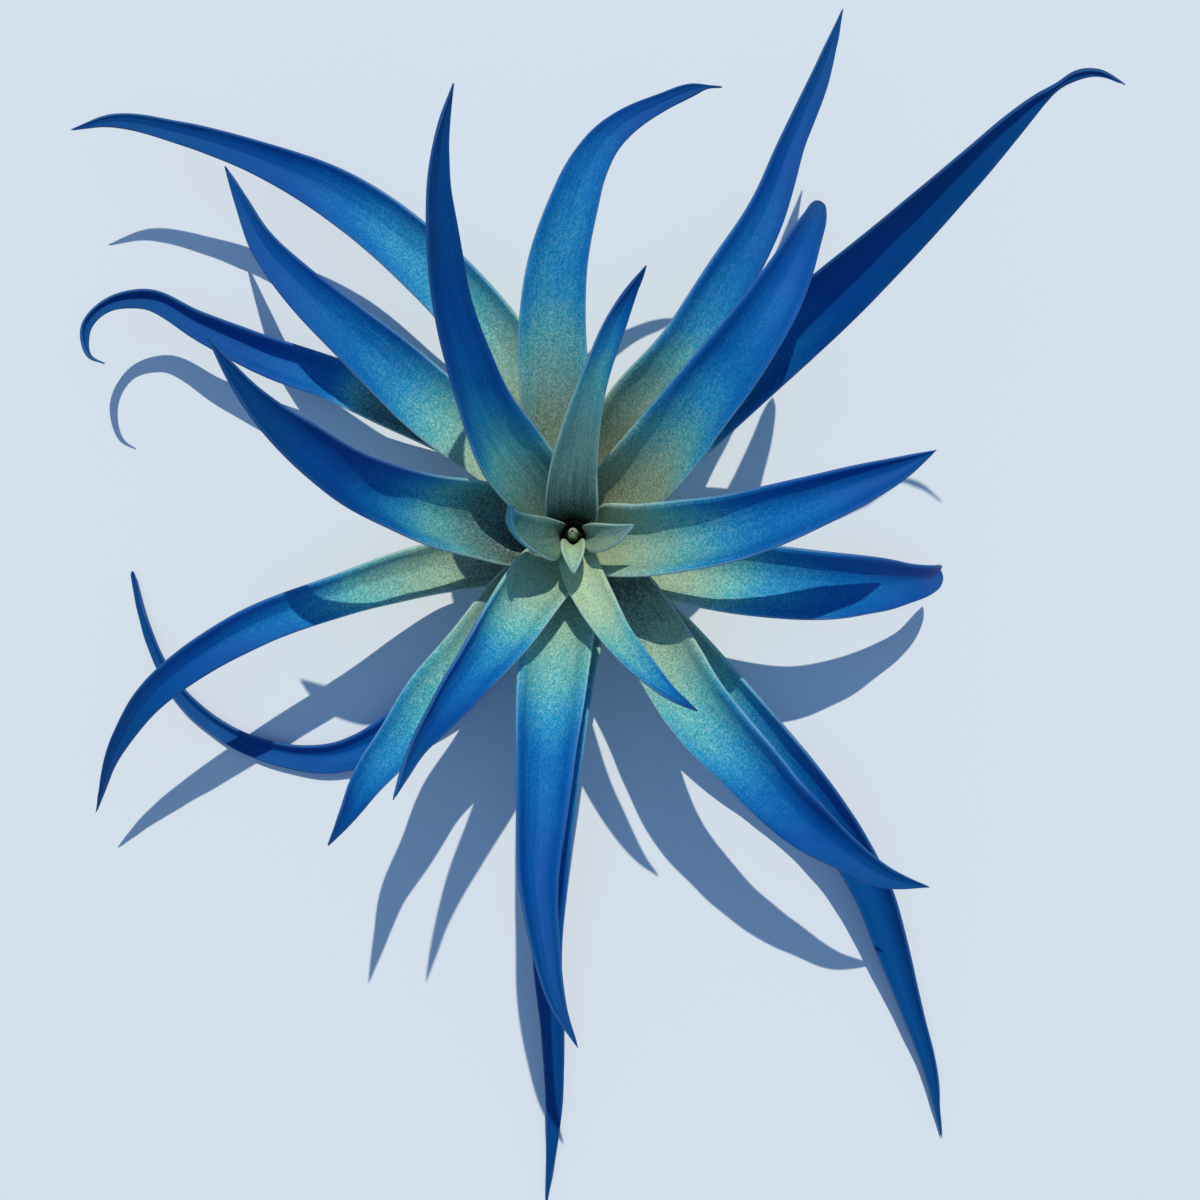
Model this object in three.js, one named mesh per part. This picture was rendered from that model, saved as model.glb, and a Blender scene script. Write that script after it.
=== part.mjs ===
// Rosette air plant with long channelled leaves, blade by blade.
// Units are millimetres and +Z is up. The origin is the middle of the stem's flat base,
// so the plant stands on z = 0.

import * as THREE from 'three';

// Stem: a short woody cone with a cut, flat base
const stemHeight = 46;
const stemBaseRadius = 8.5;
const stemTopRadius = 1.5;
const stemCollar = 5;
const stemEdge = 1;
const stemSides = 24;

// Leaf roots climb the stem in equal steps, each seated just clear of the bark
const lowestRoot = 5;
const rootStep = 1.7;
const seatGap = 0.3;
const sheathRise = 4;
const sheathSpread = 1.15;
const outermostLean = 0.5;

// Grown and young blades: the thickness at the root, and how far each half of the sheath
// reaches round the stem, in degrees
const grown = { thickness: 1.8, span: 42 };
const young = { thickness: 1, span: 36 };

// Blade section: thick along the middle, thin at both margins, flatter towards the tip
const tipThickness = 0.8;
const thinnest = 0.65;
const marginThinning = 0.5;
const tipFlattening = 0.2;
const narrowest = 1.1;
const sheathShare = 0.2;

// Facets
const ringSpacing = 5.5;
const tipCrowding = 1.25;
const fewestRings = 8;
const acrossSteps = 6;
const tangentReach = 0.001;

const colours = { stem: 0x6b5a3e, blade: 0x1f6fae, heart: 0x7f9a86, bud: 0x9fae86 };

// Blades from the lowest on the stem to the highest. heading is the side of the stem that the
// blade leaves, in degrees from +X, and channel is how far each half of its section turns up.
// Stations are points of the mid rib, with the width of the blade there and, where the blade
// turns about the middle of its channel's mouth, the turn in degrees: [x, y, z, width, turn].
const blades = [
  {
    heading: 138, channel: 85,
    stations: [
      [-20, 20, 12, 13], [-42, 30.5, 16, 11, -8], [-50.5, 34, 17, 10.2, -16], [-67.5, 40, 17.5, 9.5, -24],
      [-80.5, 46, 17.5, 7.2, -26], [-93, 52, 17.5, 5, -24], [-100, 50.5, 19, 3.4, -14],
      [-104, 45, 22, 2.6, -6], [-103.5, 41, 23.5, 2], [-102, 38.5, 25, 1.5], [-98.5, 37, 26, 0.6],
    ],
  },
  {
    heading: 42, channel: 80,
    stations: [
      [14, 13, 15, 13], [29.5, 28.5, 31, 14.5, 4], [42.5, 39, 49, 13.3, 8], [49.5, 44.5, 59, 12.2, 8],
      [58.5, 52, 71, 9.8, 8], [69.5, 62, 85, 6.3, 10], [75.5, 67.8, 91.5, 4, 14],
      [78, 70, 94, 2.6, 16], [79.7, 71, 96.5, 1.3, 20], [82, 71.9, 98.8, 2, 10],
      [84.6, 71.7, 100.5, 1.7, 6], [88.5, 69.3, 102, 0.6],
    ],
  },
  {
    heading: 230, channel: 75,
    stations: [
      [-13, -15, 9.5, 12], [-28, -32, 5.2, 11, -8], [-56, -48, 1.7, 7.7, -14], [-76, -44, 1.2, 5.4, -15],
      [-90, -33, 1.2, 4, -10], [-98, -16, 1.4, 2.3, -4], [-100.2, -6, 2, 1.5],
    ],
  },
  {
    heading: 108, channel: 58,
    stations: [
      [-5, 22, 18, 13], [-16, 41, 28, 14, -3], [-32, 58, 31.5, 13.2, -5], [-49, 71, 29, 11, -5],
      [-65.5, 79, 28, 7.3, -5], [-82, 84.5, 27.5, 5, -4], [-96.5, 87, 28, 2.9, -2], [-104.5, 85, 29, 0.6],
    ],
  },
  {
    heading: 313, channel: 75,
    stations: [
      [12, -13, 16, 13], [24, -26, 22, 13.5, 5], [34.5, -37, 22, 12.4, 12], [46.5, -50, 17.5, 11.4, 18],
      [57, -63.5, 13, 10.2, 18], [64, -75.5, 10.5, 9.2, 16], [69, -88.5, 7.5, 7.8, 12],
      [74.5, -104, 4.5, 5.3, 7], [79, -117, 2.6, 3.6, 3], [82.5, -134, 1, 0.6],
    ],
  },
  {
    heading: 192, channel: 62,
    stations: [
      [-12, -3, 18, 12], [-29.1, -5.5, 20.5, 11.9, -4], [-38.7, -8.1, 26, 11.1, -8],
      [-48.4, -11.5, 32, 9.6, -10], [-65.7, -18.5, 39, 8.9, -10], [-83.5, -30.5, 38.5, 6.8, -8],
      [-94, -42.5, 31, 4, -4], [-103, -58, 18, 0.6],
    ],
  },
  {
    heading: 66, channel: 60,
    stations: [
      [6, 14, 21.5, 13], [13, 27, 34.5, 14.5, -2], [23, 38, 44.3, 13, 3], [30, 50, 48, 10.8, 7],
      [36.5, 61, 49, 8.7, 10], [42.3, 76, 48, 6, 10], [48.3, 90, 45, 4.4, 6], [53.5, 105, 42, 0.6],
    ],
  },
  {
    heading: 270, channel: 65,
    stations: [
      [0, -13, 20, 13], [-2.5, -33, 29, 12.6, -3], [-5, -65, 24, 9, -6], [-6, -88, 18, 6.9, -6],
      [-5, -107, 12, 5.6, -6], [-5, -126, 6, 4.1, -4], [-7, -150, 1.2, 0.6],
    ],
  },
  {
    heading: 132, channel: 54,
    stations: [
      [-11, 13, 22.4, 13], [-31.3, 29.2, 27, 14.4, -5], [-39.4, 36.5, 30, 13.3, -9],
      [-47.5, 43.5, 33, 11.3, -11], [-55.9, 51.1, 34, 9, -11], [-64.2, 60.8, 32.5, 5.9, -9],
      [-69, 70, 30, 3.2, -6], [-73.5, 78.5, 25.5, 0.6],
    ],
  },
  {
    heading: 340, channel: 78,
    stations: [
      [13, -4, 26, 13], [26, -7.5, 33, 14.5, 6], [41.3, -9.5, 37, 15.3, 14],
      [49.8, -10.1, 37, 14.6, 18], [58.3, -9.9, 34, 12.6, 18], [67.8, -9.4, 27.5, 9.1, 16],
      [74.5, -8.3, 21.5, 6.6, 14],
      [77, -7.3, 17.6, 5, 10], [78.6, -6.4, 15, 3, 6], [79.2, -6, 13.8, 0.8],
    ],
  },
  {
    heading: 226, channel: 58,
    stations: [
      [-9, -9.5, 27, 13], [-21.5, -25, 38, 13.5], [-29.5, -33.5, 42.5, 11.8], [-34, -40, 49, 9.5],
      [-39.5, -47.5, 56, 6.7], [-41.5, -52.5, 65, 3.7], [-43, -56, 74, 0.6],
    ],
  },
  {
    heading: 98, channel: 44,
    stations: [
      [-2, 13, 30, 13], [-4, 31, 43, 14.4], [-4, 44.5, 51, 13.1], [-3, 52, 54, 11.9],
      [-0.2, 61.5, 56.5, 10], [2.4, 68.4, 57, 8.3], [6.3, 74.4, 57, 6.5], [11, 78.4, 56.7, 5.1],
      [16.5, 81.3, 56.5, 3.8], [23.5, 84, 57, 2.2], [25, 84.3, 57, 1.2], [28.3, 84.3, 57, 0.6],
    ],
  },
  {
    heading: 311, channel: 66,
    stations: [
      [8, -9, 31.2, 12.6], [15.1, -18.1, 36.5, 13.8], [20.2, -26.7, 40.3, 14.4],
      [23.8, -33, 44, 14.3, 8], [28.2, -38.7, 47.2, 14.4, 20], [33.6, -44.4, 48.5, 13.7, 24],
      [39.2, -50.7, 48, 12.4, 24], [45.5, -56.4, 47, 11, 18], [51.7, -61, 46.5, 7.9, 8],
      [61, -66.7, 46, 4.8], [70, -69, 45, 0.6],
    ],
  },
  {
    heading: 176, channel: 78,
    stations: [
      [-11, 1, 34, 13], [-23.8, 3.5, 48.5, 15.4], [-29.1, 4.3, 55, 14.1], [-35.4, 6.3, 64, 12.1, -3],
      [-41, 8.8, 74, 10.4, -6], [-46.6, 13.3, 83, 8.7, -6], [-52.8, 20.3, 93, 5.1, -3],
      [-57, 29, 102, 0.6],
    ],
  },
  {
    heading: 45, channel: 70,
    stations: [
      [9, 8.5, 39, 13], [18.5, 17.5, 52, 15, 4], [24.5, 24.7, 60, 13.8, 10], [30, 31.5, 64, 12.9, 14],
      [35.2, 38.7, 66.2, 11.3, 16], [39.6, 46.3, 65, 9.3, 16], [43.2, 54, 62, 6.7, 16],
      [45.1, 58, 59, 5.2, 12], [46.4, 61.2, 55.6, 3.9, 8], [47.1, 63, 53.4, 2.4, 4], [47.4, 64, 52.2, 0.6],
    ],
  },
  {
    heading: 264, channel: 75,
    stations: [
      [-1.5, -10, 38, 12], [-4, -29.5, 52, 14.2, -6], [-5, -42.5, 59, 12.1, -12],
      [-5.5, -53, 63.5, 10.2, -12], [-6, -63.5, 67, 8.1, -12], [-4.5, -75, 71, 5.9, -10],
      [-2.5, -83.5, 74, 3.7, -6], [1.3, -91, 77, 0.6],
    ],
  },
  {
    heading: 130, channel: 60,
    stations: [
      [-6, 8, 43, 12], [-13.5, 17.5, 57, 14], [-16.7, 23.8, 67, 11], [-18.7, 30, 75, 9.3],
      [-21, 40, 84, 7.6], [-21.5, 48, 90, 6.6], [-21.5, 56, 95, 4.6], [-20, 64, 99, 2.5],
      [-18, 69.5, 102, 0.6],
    ],
  },
  {
    heading: 355, channel: 85,
    stations: [
      [9, -1, 45, 14], [16.6, -1.6, 53, 14.6, 4], [24, -1, 60, 14, 8], [31, 0, 65.5, 13, 10],
      [37.6, 2, 69, 11.8, 14], [44.5, 4.5, 71, 10, 20], [51.5, 7.3, 72, 8, 24],
      [58.7, 10.5, 72.5, 4.9, 20], [65.3, 14.3, 72, 0.6, 10],
    ],
  },
  {
    heading: 238, channel: 78,
    stations: [
      [-4.5, -7, 43, 11.5], [-8.5, -12.5, 49.5, 12.7, -6], [-13.3, -20, 56.5, 12, -12],
      [-18.2, -27, 65, 9.5, -18], [-23.5, -34.2, 73.5, 6.4, -18], [-26.6, -39, 83, 3.4, -12],
      [-29, -45.5, 92, 0.6],
    ],
  },
  {
    heading: 90, channel: 60,
    stations: [
      [-0.2, 5.3, 48.5, 10.4], [0.3, 13.7, 59.5, 9.5], [2.3, 22, 68, 7], [5, 29.5, 75, 5.2],
      [8, 36, 80.5, 4.4], [9.7, 39, 83, 3.3], [13, 43.7, 88, 0.6],
    ],
  },
  {
    heading: 285, channel: 55,
    stations: [
      [1, -5.1, 49, 8], [2.3, -8.8, 52, 8.4], [4.6, -13.4, 55.3, 8], [8.4, -19.6, 60, 6.5],
      [12.5, -24.4, 64.5, 5.4], [18.7, -30, 70.5, 2.6], [22.6, -32.2, 73.5, 0.6],
    ],
  },
];

// The three young leaves round the bud, again from the lowest to the highest
const heartLeaves = [
  {
    heading: 178, channel: 60,
    stations: [
      [-3.3, -0.2, 49, 6], [-5.9, -0.8, 54.5, 8.9, 12], [-9.2, 0, 61.3, 8.2, 22],
      [-11.1, 1.6, 70.5, 5.2, 14], [-10.2, 3.9, 81.5, 0.6],
    ],
  },
  {
    heading: 2, channel: 60,
    stations: [[3.1, 0, 50, 4.4], [5.2, -0.7, 56.5, 6.2], [8.2, -0.4, 61, 4.8], [11.5, 1.3, 65, 0.6]],
  },
  {
    heading: 271, channel: 75,
    stations: [
      [0.1, -2.4, 51, 3.3], [0.1, -2.8, 57, 5.2], [0.2, -4.8, 60.3, 4.5], [0.3, -7.7, 62.5, 0.6],
    ],
  },
];

// Bud: the rolled youngest leaf, standing on the stem's tip
const budHeight = 12;
const budRadius = 1.3;
const budTipRadius = 0.9;
const budSides = 10;
const budLean = 2.5;

const radians = THREE.MathUtils.degToRad;
const mix = THREE.MathUtils.lerp;

function stemRadius(z) {
  const share = THREE.MathUtils.clamp((z - stemCollar) / (stemHeight - stemCollar), 0, 1);
  return mix(stemBaseRadius, stemTopRadius, share);
}

// Smooth curve through rows of numbers, measured along by the distance between their first three
function curveThrough(rows) {
  const along = [0];
  for (let i = 1; i < rows.length; i += 1) {
    const step = Math.hypot(...[0, 1, 2].map((c) => rows[i][c] - rows[i - 1][c]));
    along.push(along[i - 1] + step);
  }
  const rate = (i, c) => (rows[i + 1][c] - rows[i][c]) / (along[i + 1] - along[i]);
  const last = rows.length - 1;
  const slopes = rows.map((row, i) => row.map((_, c) => {
    if (i === 0) return rate(0, c);
    if (i === last) return rate(last - 1, c);
    const before = along[i] - along[i - 1];
    const after = along[i + 1] - along[i];
    return (rate(i - 1, c) * after + rate(i, c) * before) / (before + after);
  }));
  const at = (distance) => {
    let i = 0;
    while (i < last - 1 && distance > along[i + 1]) i += 1;
    const span = along[i + 1] - along[i];
    const t = (distance - along[i]) / span;
    const here = 2 * t ** 3 - 3 * t ** 2 + 1;
    const there = 3 * t ** 2 - 2 * t ** 3;
    const leaving = (t ** 3 - 2 * t ** 2 + t) * span;
    const arriving = (t ** 3 - t ** 2) * span;
    return rows[i].map((value, c) => value * here + rows[i + 1][c] * there
      + slopes[i][c] * leaving + slopes[i + 1][c] * arriving);
  };
  return { length: along[last], at };
}

// The full run of a blade: its seat on the stem, its sheath, then its stations
function bladeRows({ heading, stations }, order, age) {
  const seatZ = lowestRoot + order * rootStep;
  const seatRadius = stemRadius(seatZ) + seatGap + age.thickness / 2;
  const lean = outermostLean * Math.max(0, 1 - order / blades.length);
  const toward = new THREE.Vector2(Math.cos(radians(heading)), Math.sin(radians(heading)));
  const row = (radius, z, width) => [toward.x * radius, toward.y * radius, z, width];
  const sheathWidth = 2 * seatRadius * Math.sin(radians(age.span));
  const rows = [
    row(seatRadius, seatZ, sheathWidth),
    row(seatRadius + lean * sheathRise, seatZ + sheathRise, sheathWidth * sheathSpread),
    ...stations,
  ];
  return rows.map(([x, y, z, width, turn = 0]) => [x, y, z, width, turn]);
}

// A closed blade: rings of an arc-shaped section carried along the mid rib, ending in a point
function bladeGeometry(blade, order, age) {
  const curve = curveThrough(bladeRows(blade, order, age));
  const rings = Math.max(fewestRings, Math.round(curve.length / ringSpacing));
  const across = acrossSteps + 1;
  const reach = curve.length * tangentReach;
  const heading = radians(blade.heading);
  const side = new THREE.Vector3(-Math.sin(heading), Math.cos(heading), 0);
  const positions = [];
  for (let ring = 0; ring < rings; ring += 1) {
    const share = 1 - (1 - ring / rings) ** tipCrowding;
    const distance = share * curve.length;
    const [x, y, z, width, turn] = curve.at(distance);
    const ahead = curve.at(distance + reach);
    const behind = curve.at(Math.max(distance - reach, 0));
    const along = new THREE.Vector3(...[0, 1, 2].map((c) => ahead[c] - behind[c])).normalize();
    side.addScaledVector(along, -side.dot(along)).normalize();
    const level = new THREE.Vector3().crossVectors(along, side);
    const sideways = side.clone().applyAxisAngle(along, radians(turn));
    const inward = level.clone().applyAxisAngle(along, radians(turn));
    const opening = mix(age.span, blade.channel, Math.min(share / sheathShare, 1));
    const half = radians(opening * (1 - tipFlattening * share));
    const depth = mix(age.thickness, tipThickness, share);
    const thickAt = (place) => Math.max(thinnest, depth * (1 - marginThinning * place ** 2));
    const bend = Math.max(width, narrowest) / 2 / Math.sin(half) - thickAt(1) / 2;
    const mouthRise = bend * Math.cos(half);
    const mouth = new THREE.Vector3(x, y, z).addScaledVector(level, bend - mouthRise);
    for (const face of [1, -1]) {
      for (let step = 0; step < across; step += 1) {
        const place = 2 * step / acrossSteps - 1;
        const arm = bend - face * thickAt(place) / 2;
        const point = mouth.clone()
          .addScaledVector(sideways, arm * Math.sin(place * half))
          .addScaledVector(inward, mouthRise - arm * Math.cos(place * half));
        positions.push(point.x, point.y, point.z);
      }
    }
  }
  positions.push(...curve.at(curve.length).slice(0, 3));

  const faces = [];
  const vertex = (ring, face, step) => (ring * 2 + face) * across + step;
  const tip = rings * 2 * across;
  const quad = (a, b, c, d) => faces.push(a, b, c, a, c, d);
  for (let ring = 0; ring < rings - 1; ring += 1) {
    for (let step = 0; step < acrossSteps; step += 1) {
      const [a, b, c, d] = [[0, 0], [1, 0], [1, 1], [0, 1]].map(([r, s]) => vertex(ring + r, 0, step + s));
      quad(a, b, c, d);
      faces.push(a + across, c + across, b + across, a + across, d + across, c + across);
    }
    quad(vertex(ring, 0, 0), vertex(ring, 1, 0), vertex(ring + 1, 1, 0), vertex(ring + 1, 0, 0));
    quad(
      vertex(ring, 0, acrossSteps), vertex(ring + 1, 0, acrossSteps),
      vertex(ring + 1, 1, acrossSteps), vertex(ring, 1, acrossSteps),
    );
  }
  const last = rings - 1;
  for (let step = 0; step < acrossSteps; step += 1) {
    quad(vertex(0, 0, step), vertex(0, 0, step + 1), vertex(0, 1, step + 1), vertex(0, 1, step));
    faces.push(vertex(last, 0, step), tip, vertex(last, 0, step + 1));
    faces.push(vertex(last, 1, step), vertex(last, 1, step + 1), tip);
  }
  faces.push(vertex(last, 0, 0), vertex(last, 1, 0), tip);
  faces.push(vertex(last, 0, acrossSteps), tip, vertex(last, 1, acrossSteps));

  const geometry = new THREE.BufferGeometry();
  geometry.setAttribute('position', new THREE.Float32BufferAttribute(positions, 3));
  geometry.setIndex(faces);
  geometry.computeVertexNormals();
  return geometry;
}

// Solid of revolution about +Z from [radius, z] corners that start and end on the axis
function turned(corners, sides) {
  const geometry = new THREE.LatheGeometry(corners.map(([r, z]) => new THREE.Vector2(r, z)), sides);
  geometry.rotateX(Math.PI / 2);
  return geometry;
}

function finish(color, roughness) {
  return new THREE.MeshStandardMaterial({ color, roughness, metalness: 0, flatShading: true });
}

const plant = new THREE.Group();

function add(name, geometry, material) {
  const mesh = new THREE.Mesh(geometry, material);
  mesh.name = name;
  plant.add(mesh);
}

const stemProfile = [
  [0, 0],
  [stemBaseRadius - stemEdge, 0],
  [stemBaseRadius, stemEdge],
  [stemBaseRadius, stemCollar],
  [stemTopRadius, stemHeight],
  [0, stemHeight],
];
add('stem', turned(stemProfile, stemSides), finish(colours.stem, 0.9));

const number = (index) => String(index + 1).padStart(2, '0');
blades.forEach((blade, order) => {
  add(`leaf_${number(order)}`, bladeGeometry(blade, order, grown), finish(colours.blade, 0.7));
});
heartLeaves.forEach((leaf, order) => {
  const geometry = bladeGeometry(leaf, blades.length + order, young);
  add(`heart_leaf_${order + 1}`, geometry, finish(colours.heart, 0.8));
});

const budFoot = stemHeight + seatGap;
const budProfile = [[0, 0], [budRadius, 0], [budTipRadius, budHeight], [0, budHeight]];
const bud = turned(budProfile, budSides).rotateX(-radians(budLean)).translate(0, 0, budFoot);
add('bud', bud, finish(colours.bud, 0.8));

export default plant;
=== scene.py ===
import math

import bpy
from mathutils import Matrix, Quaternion, Vector


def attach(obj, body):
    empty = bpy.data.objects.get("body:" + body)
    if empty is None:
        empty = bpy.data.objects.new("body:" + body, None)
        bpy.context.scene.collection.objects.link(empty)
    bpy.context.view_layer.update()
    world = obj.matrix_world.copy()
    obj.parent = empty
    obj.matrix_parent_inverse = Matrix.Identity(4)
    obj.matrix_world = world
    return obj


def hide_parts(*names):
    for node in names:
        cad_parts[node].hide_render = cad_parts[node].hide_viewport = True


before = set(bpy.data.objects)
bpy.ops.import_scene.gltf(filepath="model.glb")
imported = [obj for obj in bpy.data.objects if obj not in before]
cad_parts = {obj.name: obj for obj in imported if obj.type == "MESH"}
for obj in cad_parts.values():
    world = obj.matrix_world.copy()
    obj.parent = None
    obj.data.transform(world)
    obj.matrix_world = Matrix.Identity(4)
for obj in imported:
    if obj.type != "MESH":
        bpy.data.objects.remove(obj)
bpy.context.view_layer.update()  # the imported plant, in metres, standing on z = 0
print("frame loaded:", len(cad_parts), "nodes")

mm = 0.001  # the plant's own numbers are in millimetres


def deselectAll():
    if bpy.context.object and bpy.context.object.mode != "OBJECT":
        bpy.ops.object.mode_set(mode="OBJECT")
    bpy.ops.object.select_all(action="DESELECT")


def applyModifier(piece, kind, **settings):
    modifier = piece.modifiers.new(kind.title(), kind)
    for key, value in settings.items():
        setattr(modifier, key, value)
    bpy.context.view_layer.objects.active = piece
    bpy.ops.object.modifier_apply(modifier=modifier.name)


def faceOutward(piece):
    deselectAll()
    piece.select_set(True)
    bpy.context.view_layer.objects.active = piece
    bpy.ops.object.mode_set(mode="EDIT")
    bpy.ops.mesh.select_all(action="SELECT")
    bpy.ops.mesh.normals_make_consistent(inside=False)
    bpy.ops.object.mode_set(mode="OBJECT")
    bpy.ops.object.shade_smooth()


def finishPiece(piece, node, material):
    piece.data.materials.clear()
    piece.data.materials.append(material)
    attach(piece, "root")
    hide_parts(node)


def mix(low, high, share):
    return low + (high - low) * share


def eased(value, start, end):
    share = min(max((value - start) / (end - start), 0), 1)
    return share * share * (3 - 2 * share)


def tone(red, green, blue):
    return tuple((c / 255) ** 2.2 for c in (red, green, blue)) + (1,)


# Where the leaves grow from: the stem's cone, and the steps of the leaf roots up it
stem = {
    "height": 46, "baseRadius": 8.5, "topRadius": 1.5, "collar": 5, "edge": 1,
    "lowestRoot": 5, "rootStep": 1.7, "seatGap": 0.3,
    "sheathRise": 4, "sheathSpread": 1.15, "outermostLean": 0.5,
}

# Grown and young blades, in millimetres and degrees: thickness at the root, how far half the
# sheath reaches round the stem, how fine the mesh is and how far the margins wave
grown = {"thickness": 1.8, "span": 42, "across": 18, "ringSpacing": 2.2, "wave": 0.12}
young = {"thickness": 1.0, "span": 36, "across": 14, "ringSpacing": 0.8, "wave": 0.05}

# Section of a blade, how it changes from sheath to tip, and the small unevenness that it grows
# with. A share runs from 0 at the root to 1 at the tip, or from the mid rib to the margin.
section = {
    "tipThickness": 0.8, "thinnest": 0.65, "marginThinning": 0.5, "narrowest": 0.35,
    "sheathShare": 0.2, "tipFlattening": 0.2, "tipCrowding": 1.5, "tipRounding": 0.99,
    "pointShare": 0.94, "pointThickness": 0.35,
    "lip": 0.85, "lipFrom": 0.8, "lipStart": 0.08, "lipFull": 0.25,
    "waveLength": 17, "waveStart": 0.12, "waveFull": 0.3, "overtone": 0.6, "overtonePitch": 1.7,
    "leafPhase": 2.4, "sidePhase": 1.9, "groove": 0.16, "grooveWidth": 0.16,
    "fewestRings": 16, "tangentParts": 1000, "arcSteps": 6,
}

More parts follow.
